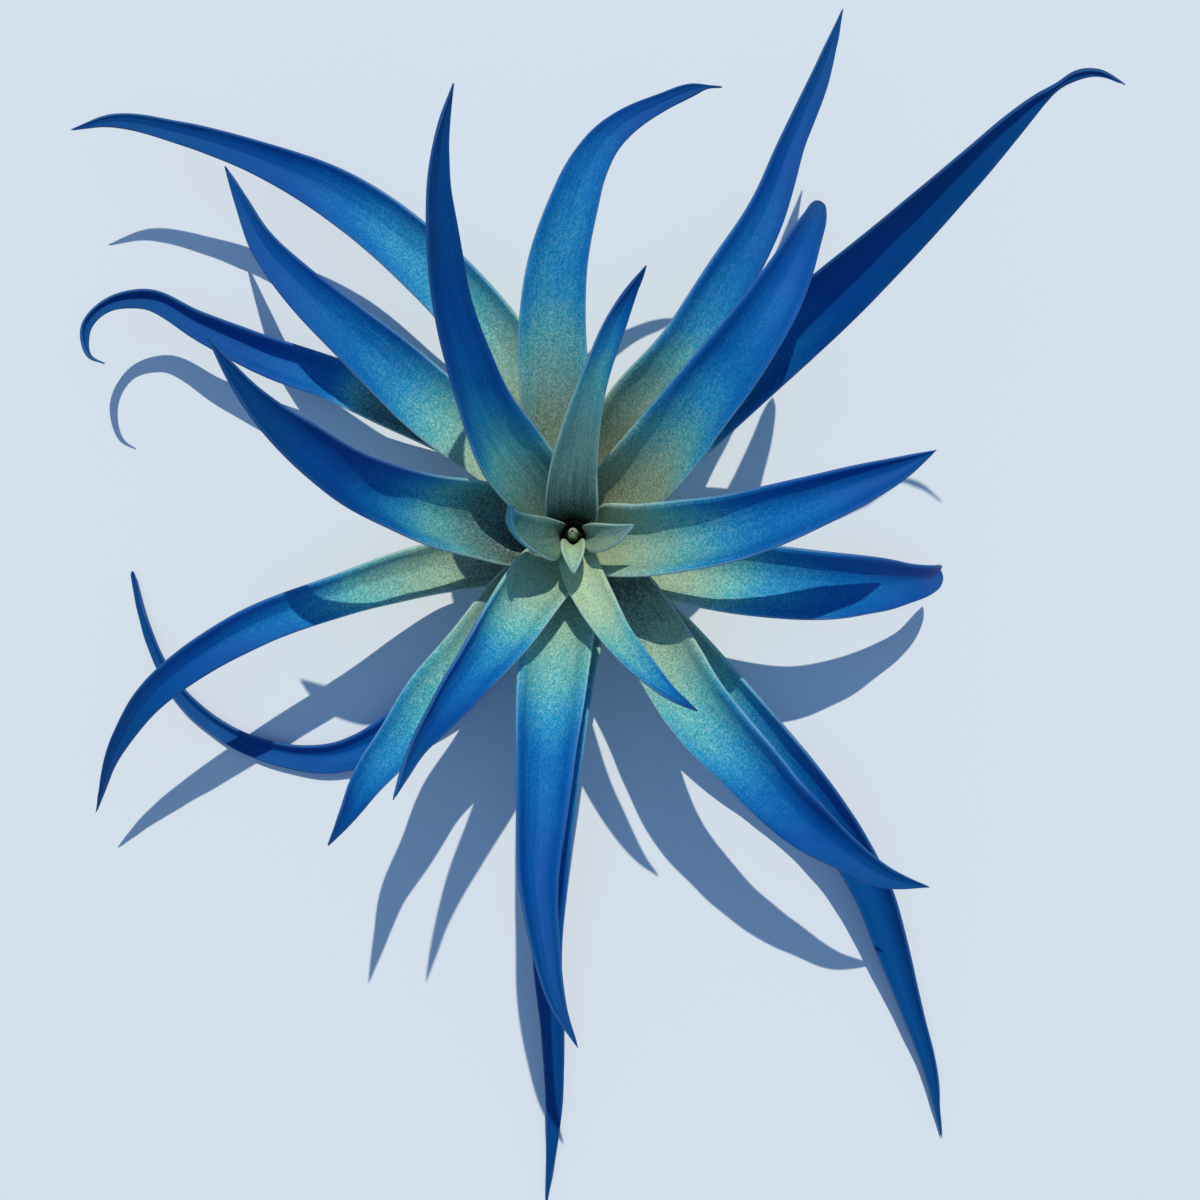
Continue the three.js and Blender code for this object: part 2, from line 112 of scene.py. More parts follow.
# Blades from the lowest to the highest: the side that each leaves, in degrees from +X, how far half
# its channel turns up, its skin at the heart, how far each margin rolls back, the shares of its
# length where the dye reaches its six levels, and its mid-rib stations [x, y, z, width, turn]
blades = [
    {"heading": 138, "channel": 85, "skin": "deepTealPaintedShade", "lips": [1, 1],
     "tints": [0.37, 0.41, 0.43, 0.46, 0.6, 0.84],
     "stations": [[-20, 20, 12, 13], [-42, 30.5, 16, 11, -8], [-50.5, 34, 17, 10.2, -16],
         [-67.5, 40, 17.5, 9.5, -24], [-80.5, 46, 17.5, 7.2, -26], [-93, 52, 17.5, 5, -24],
         [-100, 50.5, 19, 3.4, -14], [-104, 45, 22, 2.6, -6], [-103.5, 41, 23.5, 2], [-102, 38.5, 25, 1.5],
         [-98.5, 37, 26, 0.6]]},
    {"heading": 42, "channel": 80, "skin": "paintedShade", "lips": [1, 0],
     "tints": [0.1, 0.2, 0.28, 0.42, 0.55, 0.75],
     "stations": [[14, 13, 15, 13], [29.5, 28.5, 31, 14.5, 4], [42.5, 39, 49, 13.3, 8],
         [49.5, 44.5, 59, 12.2, 8], [58.5, 52, 71, 9.8, 8], [69.5, 62, 85, 6.3, 10],
         [75.5, 67.8, 91.5, 4, 14], [78, 70, 94, 2.6, 16], [79.7, 71, 96.5, 1.3, 20],
         [82, 71.9, 98.8, 2, 10], [84.6, 71.7, 100.5, 1.7, 6], [88.5, 69.3, 102, 0.6]]},
    {"heading": 230, "channel": 75, "skin": "paintedShade", "lips": [1, 1],
     "tints": [0.05, 0.1, 0.18, 0.26, 0.5, 0.7],
     "stations": [[-13, -15, 9.5, 12], [-28, -32, 5.2, 11, -8], [-56, -48, 1.7, 7.7, -14],
         [-76, -44, 1.2, 5.4, -15], [-90, -33, 1.2, 4, -10], [-98, -16, 1.4, 2.3, -4],
         [-100.2, -6, 2, 1.5]]},
    {"heading": 108, "channel": 58, "skin": "sage", "lips": [0, 1],
     "tints": [0.25, 0.34, 0.44, 0.57, 0.7, 0.9],
     "stations": [[-5, 22, 18, 13], [-16, 41, 28, 14, -3], [-32, 58, 31.5, 13.2, -5], [-49, 71, 29, 11, -5],
         [-65.5, 79, 28, 7.3, -5], [-82, 84.5, 27.5, 5, -4], [-96.5, 87, 28, 2.9, -2],
         [-104.5, 85, 29, 0.6]]},
    {"heading": 313, "channel": 75, "skin": "paintedShade", "lips": [1, 0.3],
     "tints": [0.18, 0.25, 0.3, 0.4, 0.5, 0.65],
     "stations": [[12, -13, 16, 13], [24, -26, 22, 13.5, 5], [34.5, -37, 22, 12.4, 12],
         [46.5, -50, 17.5, 11.4, 18], [57, -63.5, 13, 10.2, 18], [64, -75.5, 10.5, 9.2, 16],
         [69, -88.5, 7.5, 7.8, 12], [74.5, -104, 4.5, 5.3, 7], [79, -117, 2.6, 3.6, 3],
         [82.5, -134, 1, 0.6]]},
    {"heading": 192, "channel": 62, "skin": "paintedShade", "lips": [1, 1],
     "tints": [0.24, 0.36, 0.41, 0.46, 0.6, 0.8],
     "stations": [[-12, -3, 18, 12], [-29.1, -5.5, 20.5, 11.9, -4], [-38.7, -8.1, 26, 11.1, -8],
         [-48.4, -11.5, 32, 9.6, -10], [-65.7, -18.5, 39, 8.9, -10], [-83.5, -30.5, 38.5, 6.8, -8],
         [-94, -42.5, 31, 4, -4], [-103, -58, 18, 0.6]]},
    {"heading": 66, "channel": 60, "skin": "olive", "lips": [1, 1],
     "tints": [0.27, 0.36, 0.42, 0.53, 0.7, 0.9],
     "stations": [[6, 14, 21.5, 13], [13, 27, 34.5, 14.5, -2], [23, 38, 44.3, 13, 3], [30, 50, 48, 10.8, 7],
         [36.5, 61, 49, 8.7, 10], [42.3, 76, 48, 6, 10], [48.3, 90, 45, 4.4, 6], [53.5, 105, 42, 0.6]]},
    {"heading": 270, "channel": 65, "skin": "sage", "lips": [1, 1],
     "tints": [0.08, 0.18, 0.27, 0.38, 0.52, 0.75],
     "stations": [[0, -13, 20, 13], [-2.5, -33, 29, 12.6, -3], [-5, -65, 24, 9, -6], [-6, -88, 18, 6.9, -6],
         [-5, -107, 12, 5.6, -6], [-5, -126, 6, 4.1, -4], [-7, -150, 1.2, 0.6]]},
    {"heading": 132, "channel": 54, "skin": "sage", "lips": [0, 1],
     "tints": [0.25, 0.34, 0.42, 0.55, 0.76, 0.95],
     "stations": [[-11, 13, 22.4, 13], [-31.3, 29.2, 27, 14.4, -5], [-39.4, 36.5, 30, 13.3, -9],
         [-47.5, 43.5, 33, 11.3, -11], [-55.9, 51.1, 34, 9, -11], [-64.2, 60.8, 32.5, 5.9, -9],
         [-69, 70, 30, 3.2, -6], [-73.5, 78.5, 25.5, 0.6]]},
    {"heading": 340, "channel": 78, "skin": "sage", "lips": [1, 1],
     "tints": [0.28, 0.37, 0.45, 0.58, 0.9, 1.6],
     "stations": [[13, -4, 26, 13], [26, -7.5, 33, 14.5, 6], [41.3, -9.5, 37, 15.3, 14],
         [49.8, -10.1, 37, 14.6, 18], [58.3, -9.9, 34, 12.6, 18], [67.8, -9.4, 27.5, 9.1, 16],
         [74.5, -8.3, 21.5, 6.6, 14], [77, -7.3, 17.6, 5, 10], [78.6, -6.4, 15, 3, 6],
         [79.2, -6, 13.8, 0.8]]},
    {"heading": 226, "channel": 58, "skin": "paintedShade", "lips": [1, 1],
     "tints": [0.3, 0.48, 0.62, 0.76, 0.88, 1],
     "stations": [[-9, -9.5, 27, 13], [-21.5, -25, 38, 13.5], [-29.5, -33.5, 42.5, 11.8],
         [-34, -40, 49, 9.5], [-39.5, -47.5, 56, 6.7], [-41.5, -52.5, 65, 3.7], [-43, -56, 74, 0.6]]},
    {"heading": 98, "channel": 44, "skin": "olive", "lips": [1, 1],
     "tints": [0.25, 0.4, 0.5, 0.7, 0.85, 1],
     "stations": [[-2, 13, 30, 13], [-4, 31, 43, 14.4], [-4, 44.5, 51, 13.1], [-3, 52, 54, 11.9],
         [-0.2, 61.5, 56.5, 10], [2.4, 68.4, 57, 8.3], [6.3, 74.4, 57, 6.5], [11, 78.4, 56.7, 5.1],
         [16.5, 81.3, 56.5, 3.8], [23.5, 84, 57, 2.2], [25, 84.3, 57, 1.2], [28.3, 84.3, 57, 0.6]]},
    {"heading": 311, "channel": 66, "skin": "paintedShade", "lips": [1, 1],
     "tints": [0.32, 0.42, 0.54, 0.63, 0.74, 0.92],
     "stations": [[8, -9, 31.2, 12.6], [15.1, -18.1, 36.5, 13.8], [20.2, -26.7, 40.3, 14.4],
         [23.8, -33, 44, 14.3, 8], [28.2, -38.7, 47.2, 14.4, 20], [33.6, -44.4, 48.5, 13.7, 24],
         [39.2, -50.7, 48, 12.4, 24], [45.5, -56.4, 47, 11, 18], [51.7, -61, 46.5, 7.9, 8],
         [61, -66.7, 46, 4.8], [70, -69, 45, 0.6]]},
    {"heading": 176, "channel": 78, "skin": "deepTealPaintedShade", "lips": [0, 1],
     "tints": [0.24, 0.36, 0.43, 0.5, 0.63, 0.8],
     "stations": [[-11, 1, 34, 13], [-23.8, 3.5, 48.5, 15.4], [-29.1, 4.3, 55, 14.1],
         [-35.4, 6.3, 64, 12.1, -3], [-41, 8.8, 74, 10.4, -6], [-46.6, 13.3, 83, 8.7, -6],
         [-52.8, 20.3, 93, 5.1, -3], [-57, 29, 102, 0.6]]},
    {"heading": 45, "channel": 70, "skin": "olive", "lips": [1, 1],
     "tints": [0.28, 0.37, 0.45, 0.56, 0.8, 1],
     "stations": [[9, 8.5, 39, 13], [18.5, 17.5, 52, 15, 4], [24.5, 24.7, 60, 13.8, 10],
         [30, 31.5, 64, 12.9, 14], [35.2, 38.7, 66.2, 11.3, 16], [39.6, 46.3, 65, 9.3, 16],
         [43.2, 54, 62, 6.7, 16], [45.1, 58, 59, 5.2, 12], [46.4, 61.2, 55.6, 3.9, 8],
         [47.1, 63, 53.4, 2.4, 4], [47.4, 64, 52.2, 0.6]]},
    {"heading": 264, "channel": 75, "skin": "sage", "lips": [1, 1],
     "tints": [0.22, 0.33, 0.4, 0.47, 0.7, 0.95],
     "stations": [[-1.5, -10, 38, 12], [-4, -29.5, 52, 14.2, -6], [-5, -42.5, 59, 12.1, -12],
         [-5.5, -53, 63.5, 10.2, -12], [-6, -63.5, 67, 8.1, -12], [-4.5, -75, 71, 5.9, -10],
         [-2.5, -83.5, 74, 3.7, -6], [1.3, -91, 77, 0.6]]},
    {"heading": 130, "channel": 60, "skin": "greyTeal", "lips": [1, 1],
     "tints": [0.2, 0.3, 0.38, 0.47, 0.6, 0.75],
     "stations": [[-6, 8, 43, 12], [-13.5, 17.5, 57, 14], [-16.7, 23.8, 67, 11], [-18.7, 30, 75, 9.3],
         [-21, 40, 84, 7.6], [-21.5, 48, 90, 6.6], [-21.5, 56, 95, 4.6], [-20, 64, 99, 2.5],
         [-18, 69.5, 102, 0.6]]},
    {"heading": 355, "channel": 85, "skin": "sage", "lips": [1, 1],
     "tints": [0.28, 0.4, 0.49, 0.6, 0.85, 1.3],
     "stations": [[9, -1, 45, 14], [16.6, -1.6, 53, 14.6, 4], [24, -1, 60, 14, 8], [31, 0, 65.5, 13, 10],
         [37.6, 2, 69, 11.8, 14], [44.5, 4.5, 71, 10, 20], [51.5, 7.3, 72, 8, 24],
         [58.7, 10.5, 72.5, 4.9, 20], [65.3, 14.3, 72, 0.6, 10]]},
    {"heading": 238, "channel": 78, "skin": "sage", "lips": [0, 1],
     "tints": [0.24, 0.35, 0.43, 0.53, 0.7, 0.95],
     "stations": [[-4.5, -7, 43, 11.5], [-8.5, -12.5, 49.5, 12.7, -6], [-13.3, -20, 56.5, 12, -12],
         [-18.2, -27, 65, 9.5, -18], [-23.5, -34.2, 73.5, 6.4, -18], [-26.6, -39, 83, 3.4, -12],
         [-29, -45.5, 92, 0.6]]},
    {"heading": 90, "channel": 60, "skin": "darkTealPaintedShade", "lips": [1, 1],
     "tints": [0.5, 0.66, 0.78, 0.86, 0.94, 1],
     "stations": [[-0.2, 5.3, 48.5, 10.4], [0.3, 13.7, 59.5, 9.5], [2.3, 22, 68, 7], [5, 29.5, 75, 5.2],
         [8, 36, 80.5, 4.4], [9.7, 39, 83, 3.3], [13, 43.7, 88, 0.6]]},
    {"heading": 285, "channel": 55, "skin": "yellowGreen", "lips": [1, 1],
     "tints": [0.46, 0.64, 0.79, 0.9, 0.98, 1.3],
     "stations": [[1, -5.1, 49, 8], [2.3, -8.8, 52, 8.4], [4.6, -13.4, 55.3, 8], [8.4, -19.6, 60, 6.5],
         [12.5, -24.4, 64.5, 5.4], [18.7, -30, 70.5, 2.6], [22.6, -32.2, 73.5, 0.6]]},
]
heartLeaves = [
    {"heading": 178, "channel": 60, "skin": "greyTeal", "lips": [1, 1],
     "tints": [0.5, 0.9, 1.2, 1.5, 1.8, 2],
     "stations": [[-3.3, -0.2, 49, 6], [-5.9, -0.8, 54.5, 8.9, 12], [-9.2, 0, 61.3, 8.2, 22],
         [-11.1, 1.6, 70.5, 5.2, 14], [-10.2, 3.9, 81.5, 0.6]]},
    {"heading": 2, "channel": 60, "skin": "greySage", "lips": [1, 1],
     "tints": [0.9, 1.4, 1.8, 2, 2.2, 2.4],
     "stations": [[3.1, 0, 50, 4.4], [5.2, -0.7, 56.5, 6.2], [8.2, -0.4, 61, 4.8], [11.5, 1.3, 65, 0.6]]},
    {"heading": 271, "channel": 75, "skin": "yellowGreen", "lips": [1, 1],
     "tints": [0.9, 1.4, 1.8, 2, 2.2, 2.4],
     "stations": [[0.1, -2.4, 51, 3.3], [0.1, -2.8, 57, 5.2], [0.2, -4.8, 60.3, 4.5],
         [0.3, -7.7, 62.5, 0.6]]},
]

# Leaf colours from the heart outwards, and the shares of the dye's depth where they stand
dye = {
    "levels": [0.20, 0.36, 0.48, 0.60, 0.78, 0.95],
    "tones": [(92, 188, 198), (36, 152, 206), (6, 112, 190), (2, 84, 168), (6, 82, 152)],
    "hearts": {
        "sage": {"root": (184, 194, 158), "flesh": (158, 194, 174), "grain": 1.0, "furrows": 0.12},
        # a sage-green skin whose dark root is painted shade of the hollow at the heart
        "paintedShade": {"root": (60, 80, 76), "flesh": (148, 184, 166), "grain": 1.0, "furrows": 0.12},
        "olive": {"root": (152, 150, 116), "flesh": (146, 172, 150), "grain": 1.0, "furrows": 0.12},
        # a dark teal skin whose near-black root is painted shade of the hollow at the heart; its flesh is
        # partly its own colour and partly darkened for that shade
        "deepTealPaintedShade": {"root": (22, 34, 38), "flesh": (84, 122, 126), "grain": 0.9, "furrows": 0.12},
        # a pale teal skin whose near-black root is painted shade of the hollow round the bud
        "darkTealPaintedShade": {"root": (24, 34, 32), "flesh": (122, 172, 166), "grain": 0.5, "furrows": 0.6},
        "greyTeal": {"root": (118, 146, 132), "flesh": (98, 144, 138), "grain": 0.5, "furrows": 0.5},
        "greySage": {"root": (162, 182, 164), "flesh": (146, 176, 162), "grain": 0.6, "furrows": 0.35},
        "yellowGreen": {"root": (194, 210, 166), "flesh": (182, 212, 178), "grain": 0.9, "furrows": 0.15},
        "cream": {"root": (150, 160, 122), "flesh": (206, 214, 188), "grain": 0.4, "furrows": 0.25},
    },
    "rootLevel": 0.03, "fleshLevel": 0.16,
    "lastStep": 0.2, "pastTip": 1.01,  # where the dye is deepest, past a blade's last tint or its tip
    "unevenBy": 0.12, "streakStretch": (16, 5, 1), "streakDetail": 5.0,
    "cloudScale": 90.0, "cloudDetail": 3.0,
    "edgeShift": 0.10, "edgePower": 3.0, "edgeFrom": 0.15, "edgeTo": 0.35,
}

# Silvery leaf scales, dense where the dye is thin, and the furrows, margin and finish of the skin.
# A pair runs from the undyed end to the dyed one, or over the part of a pattern that shows.
coat = {
    "scaleSize": 0.27 * mm, "scale": tone(220, 236, 212), "dyedScale": tone(84, 190, 228),
    "leftOnDye": 0.03, "pale": 0.40, "paleCells": (0.52, 0.85), "dark": 0.70, "darkCells": (0.48, 0.15),
    "darkSaturation": 1.15, "darkValue": 0.55,
    "veinStretch": (46, 2.5, 1), "veinDetail": 3.0, "veinCells": (0.5, 0.4),
    "margin": tone(182, 212, 206), "marginWidth": (0.965, 0.985), "marginShare": (0.6, 0.05),
    "domes": (-0.8, -0.2), "veinRelief": 0.9, "bumpDepth": 0.12 * mm,
    "roughness": (0.82, 0.6), "specular": 0.15,
}


def nodeMaker(material):
    tree = material.node_tree

    def add(kind, inputs=None, **settings):
        node = tree.nodes.new(kind)
        for key, value in settings.items():
            setattr(node, key, value)
        for key, value in (inputs or {}).items():
            if isinstance(value, bpy.types.NodeSocket):
                tree.links.new(value, node.inputs[key])
            else:
                node.inputs[key].default_value = value
        return node

    def sums(operation, *values):
        return add("ShaderNodeMath", dict(enumerate(values)), operation=operation).outputs[0]

    def span(value, low, high, start=0.0, end=1.0):
        return add("ShaderNodeMapRange", {"Value": value, "From Min": low, "From Max": high,
                                          "To Min": start, "To Max": end}).outputs[0]

    def blend(share, first, second):
        return add("ShaderNodeMix", {0: share, 6: first, 7: second}, data_type="RGBA").outputs[2]

    def noise(vector, detail, scale=1.0, stretch=None):
        if stretch:
            vector = add("ShaderNodeMapping", {"Vector": vector, "Scale": stretch}).outputs[0]
        node = add("ShaderNodeTexNoise", {"Vector": vector, "Scale": scale, "Detail": detail})
        return node.outputs["Fac"]
    return add, sums, span, blend, noise


def colourRamp(add, value, stops):
    ramp = add("ShaderNodeValToRGB", {"Fac": value})
    elements = ramp.color_ramp.elements
    while len(elements) < len(stops):
        elements.new(0.5)
    for element, (position, colour) in zip(elements, stops):
        element.position = position
        element.color = colour
    return ramp.outputs["Color"]


def leafSkin(heart):
    material = bpy.data.materials.new(heart + "Skin")
    material.use_nodes = True
    add, sums, span, blend, noise = nodeMaker(material)
    links = material.node_tree.links
    surface = material.node_tree.nodes["Principled BSDF"]
    bladeMap = add("ShaderNodeUVMap", uv_map="bladeMap").outputs[0]
    dyeMap = add("ShaderNodeUVMap", uv_map="dyeMap").outputs[0]
    place = add("ShaderNodeTexCoord").outputs["Object"]
    across, _, _ = add("ShaderNodeSeparateXYZ", {0: bladeMap}).outputs
    reached, _, _ = add("ShaderNodeSeparateXYZ", {0: dyeMap}).outputs
    fromMiddle = sums("ABSOLUTE", sums("MULTIPLY_ADD", across, 2.0, -1.0))

    # how deep the dye is: uneven in streaks and clouds, and further in along the margins
    streaks = noise(bladeMap, dye["streakDetail"], stretch=dye["streakStretch"])
    clouds = noise(place, dye["cloudDetail"], dye["cloudScale"])
    uneven = sums("ADD", sums("MULTIPLY_ADD", streaks, dye["unevenBy"], -dye["unevenBy"] / 2),
                  sums("MULTIPLY_ADD", clouds, dye["unevenBy"], -dye["unevenBy"] / 2))
    edgeward = sums("MULTIPLY", sums("POWER", fromMiddle, dye["edgePower"]),
                    span(reached, dye["edgeFrom"], dye["edgeTo"], 0.0, dye["edgeShift"]))
    level = sums("ADD", sums("ADD", reached, uneven), edgeward)
    undyed = dye["hearts"][heart]
    # the ramp starts at a skin's root colour; on the skins with a dark root this is painted shade of the
    # heart's hollow
    stops = [(dye["rootLevel"], tone(*undyed["root"])), (dye["fleshLevel"], tone(*undyed["flesh"]))]
    stops += [(position, tone(*colour)) for position, colour in zip(dye["levels"][1:], dye["tones"])]
    colour = colourRamp(add, level, stops)
    first, dyed, _, halfway, deep, _ = dye["levels"]

    # silvery scales: dense and pale on the undyed part, nearly gone where the dye is deep
    scales = add("ShaderNodeTexVoronoi", {"Vector": place, "Scale": 1 / coat["scaleSize"]}).outputs
    shown = span(level, dyed, deep, undyed["grain"], coat["leftOnDye"])
    lit = sums("MULTIPLY", shown, span(scales["Color"], *coat["paleCells"], 0.0, coat["pale"]))
    pitted = sums("MULTIPLY", shown, span(scales["Color"], *coat["darkCells"], 0.0, coat["dark"]))
    scaleTone = blend(span(level, dyed, halfway), coat["scale"], coat["dyedScale"])
    colour = blend(lit, colour, scaleTone)
    dark = add("ShaderNodeHueSaturation", {"Saturation": coat["darkSaturation"], "Value": coat["darkValue"],
                                           "Color": colour}).outputs[0]
    colour = blend(pitted, colour, dark)

    # fine furrows along the blade, and a pale margin that fades with the dye
    veins = noise(bladeMap, coat["veinDetail"], stretch=coat["veinStretch"])
    colour = blend(span(veins, *coat["veinCells"], 0.0, undyed["furrows"]), colour, dark)
    rim = sums("MULTIPLY", span(fromMiddle, *coat["marginWidth"]),
               span(level, first, deep, *coat["marginShare"]))
    colour = blend(rim, colour, coat["margin"])
    links.new(colour, surface.inputs["Base Color"])

    domes = sums("MULTIPLY", scales["Distance"], span(level, dyed, deep, *coat["domes"]))
    relief = sums("ADD", domes, sums("MULTIPLY", veins, coat["veinRelief"]))
    bump = add("ShaderNodeBump", {"Height": relief, "Strength": 1.0, "Distance": coat["bumpDepth"]})
    links.new(bump.outputs[0], surface.inputs["Normal"])
    links.new(span(level, first, deep, *coat["roughness"]), surface.inputs["Roughness"])
    surface.inputs["Specular IOR Level"].default_value = coat["specular"]
    return material


def stemRadius(z):
    share = min(max((z - stem["collar"]) / (stem["height"] - stem["collar"]), 0), 1)
    return mix(stem["baseRadius"], stem["topRadius"], share)


def bladeRows(blade, order, age):
    # the seat on the stem and the sheath come before the blade's own stations
    seatZ = stem["lowestRoot"] + order * stem["rootStep"]
    seatRadius = stemRadius(seatZ) + stem["seatGap"] + age["thickness"] / 2
    lean = stem["outermostLean"] * max(0, 1 - order / len(blades))
    heading = math.radians(blade["heading"])
    width = 2 * seatRadius * math.sin(math.radians(age["span"]))

    def row(radius, z, across):
        return [math.cos(heading) * radius, math.sin(heading) * radius, z, across]
    rows = [row(seatRadius, seatZ, width),
            row(seatRadius + lean * stem["sheathRise"], seatZ + stem["sheathRise"],
                width * stem["sheathSpread"])]
    return [(one + [0])[:5] for one in rows + blade["stations"]]


def curveThrough(rows):
    # a smooth curve through the rows, which gives place, width and turn at any distance along it
    along = [0]
    for before, here in zip(rows, rows[1:]):
        along.append(along[-1] + math.dist(before[:3], here[:3]))
    last = len(rows) - 1

    def rate(i, c):
        return (rows[i + 1][c] - rows[i][c]) / (along[i + 1] - along[i])

    def slope(i, c):
        if i == 0:
            return rate(0, c)
        if i == last:
            return rate(last - 1, c)
        before, after = along[i] - along[i - 1], along[i + 1] - along[i]
        return (rate(i - 1, c) * after + rate(i, c) * before) / (before + after)

    def at(distance):
        i = 0
        while i < last - 1 and distance > along[i + 1]:
            i += 1
        span = along[i + 1] - along[i]
        t = (distance - along[i]) / span
        here, there = 2 * t ** 3 - 3 * t ** 2 + 1, 3 * t ** 2 - 2 * t ** 3
        leaving, arriving = (t ** 3 - 2 * t ** 2 + t) * span, (t ** 3 - t ** 2) * span
        return [rows[i][c] * here + rows[i + 1][c] * there + slope(i, c) * leaving
                + slope(i + 1, c) * arriving for c in range(5)]
    return along[-1], at


def thickAt(depth, place):
    return max(section["thinnest"], depth * (1 - section["marginThinning"] * place ** 2))


def channelArc(half, reach, steps, lip):
    # one half of the section from the mid rib out: an arc, whose margin may roll back outwards
    fine = section["arcSteps"]
    across, up, points = 0, 0, [(0, 0)]
    for step in range(1, steps * fine + 1):
        out = (step - 0.5) / (steps * fine)
        slope = half * min(out / section["lipFrom"], 1) * (1 - lip * eased(out, section["lipFrom"], 1))
        across += math.cos(slope)
        up += math.sin(slope)
        if step % fine == 0:
            points.append((across, up))
    return [(x * reach / across, y * reach / across) for x, y in points]


def bladeRings(blade, order, age):
    length, at = curveThrough(bladeRows(blade, order, age))
    count = max(section["fewestRings"], round(length / age["ringSpacing"]))
    heading = math.radians(blade["heading"])
    side = Vector((-math.sin(heading), math.cos(heading), 0))
    reach = length / section["tangentParts"]
    rings = []
    for ring in range(count + 1):
        share = 1 - (1 - ring / count) ** section["tipCrowding"]
        distance = share * length
        x, y, z, width, turn = at(distance)
        ahead = Vector(at(min(distance + reach, length))[:3])
        behind = Vector(at(max(distance - reach, 0))[:3])
        along = (ahead - behind).normalized()
        side = (side - along * side.dot(along)).normalized()
        turned = Quaternion(along, math.radians(turn))
        level = along.cross(side)
        opening = mix(age["span"], blade["channel"], min(share / section["sheathShare"], 1))
        half = math.radians(opening * (1 - section["tipFlattening"] * share))
        depth = mix(age["thickness"], section["tipThickness"], share)
        intoTip = max(0, (distance - length + width / 2) / (width / 2))
        width = max(width * math.sqrt(1 - intoTip ** 2 * section["tipRounding"]), section["narrowest"])
        halfWidth = width / 2 - thickAt(depth, 1) * math.sin(half) / 2
        lip = section["lip"] * eased(share, section["lipStart"], section["lipFull"])
        arcs = [channelArc(half, halfWidth, age["across"] // 2, lip * rolled) for rolled in blade["lips"]]
        rings.append({
            "mouth": Vector((x, y, z)) + level * arcs[0][-1][1], "sideways": turned @ side,
            "inward": turned @ level, "share": share, "distance": distance, "arcs": arcs, "depth": depth,
            "point": eased(share, section["pointShare"], 1)})
    return rings


def dyeReached(share, tints):
    # how deep the dye is at this share of the blade's length
    before, low = 0, 0
    last = max(tints[-1] + dye["lastStep"], dye["pastTip"])
    for position, high in zip(tints + [last], dye["levels"] + [1]):
        if share <= position:
            return mix(low, high, (share - before) / (position - before))
        before, low = position, high
    return 1


def unevenness(place, ring, order, age):
    # margins wave a little, each on its own, and the mid rib lies in a shallow groove
    grownIn = eased(ring["share"], section["waveStart"], section["waveFull"]) * (1 - ring["point"])
    swing = 2 * math.pi * ring["distance"] / section["waveLength"]
    phase = order * section["leafPhase"] + (section["sidePhase"] if place > 0 else 0)
    overtone = math.sin(section["overtonePitch"] * swing + 2 * phase)
    wave = math.sin(swing + phase) + section["overtone"] * overtone
    groove = section["groove"] * math.exp(-(place / section["grooveWidth"]) ** 2)
    return grownIn * (age["wave"] * wave * place ** 4 - groove * ring["depth"])


def addGrid(name, columns, rows):
    deselectAll()
    bpy.ops.mesh.primitive_grid_add(x_subdivisions=columns, y_subdivisions=rows, size=2)
    sheet = bpy.context.object
    sheet.name = sheet.data.name = name
    return sheet


def addMaps(mesh, mapsAt):
    # one map runs across and along the blade, the other holds how deep the dye is
    mesh.uv_layers[0].name = "bladeMap"
    mesh.uv_layers.new(name="dyeMap")
    for loop in mesh.loops:
        onBlade, dyed = mapsAt(loop.vertex_index)
        mesh.uv_layers["bladeMap"].data[loop.index].uv = onBlade
        mesh.uv_layers["dyeMap"].data[loop.index].uv = (dyed, 0)


def growBlade(name, blade, order, age):
    rings = bladeRings(blade, order, age)
    count = len(rings) - 1
    leaf = addGrid(name, age["across"], count)
    mesh = leaf.data
    spots = [(vertex.co.x, rings[round((vertex.co.y + 1) / 2 * count)]) for vertex in mesh.vertices]

    def mapsAt(index):
        place, ring = spots[index]
        return ((place + 1) / 2, ring["share"]), dyeReached(ring["share"], blade["tints"])
    addMaps(mesh, mapsAt)
    thickness = leaf.vertex_groups.new(name="thickness")
    for vertex, (place, ring) in zip(mesh.vertices, spots):
        out, rise = ring["arcs"][place > 0][round(abs(place) * (age["across"] // 2))]
        rise += unevenness(place, ring, order, age) - ring["arcs"][0][-1][1]
        point = ring["mouth"] + ring["sideways"] * math.copysign(out, place) + ring["inward"] * rise
        vertex.co = point * mm
        thick = mix(thickAt(ring["depth"], place), section["pointThickness"], ring["point"])
        thickness.add([vertex.index], thick / age["thickness"], "REPLACE")
    applyModifier(leaf, "SOLIDIFY", thickness=age["thickness"] * mm, offset=0, vertex_group="thickness")
    applyModifier(leaf, "SUBSURF", levels=1, render_levels=1)
    leaf.vertex_groups.clear()
    faceOutward(leaf)
    return leaf


skins = {heart: leafSkin(heart) for heart in dye["hearts"]}
for order, blade in enumerate(blades):
    node = f"leaf_{order + 1:02d}"
    leaf = growBlade(node + "_blade", blade, order, grown)
    finishPiece(leaf, node, skins[blade["skin"]])
for order, blade in enumerate(heartLeaves):
    node = f"heart_leaf_{order + 1}"
    leaf = growBlade(node + "_blade", blade, len(blades) + order, young)
    finishPiece(leaf, node, skins[blade["skin"]])
print("leaves grown:", len(blades) + len(heartLeaves))

# Bud: the youngest leaf, rolled round itself more than once, its inner edge standing highest
bud = {
    "foot": 46.3, "height": 12, "radius": 1.3, "tipRadius": 0.9, "lean": 2.5, "turns": 1.6, "inset": 0.1,
    "innerShare": 0.62, "slant": 0.14, "closing": 0.5, "closingFrom": 0.8, "thickness": 0.14,
    "around": 48, "rings": 24, "mapFrom": 0.2, "mapWidth": 0.6, "tipDye": 0.15,
}


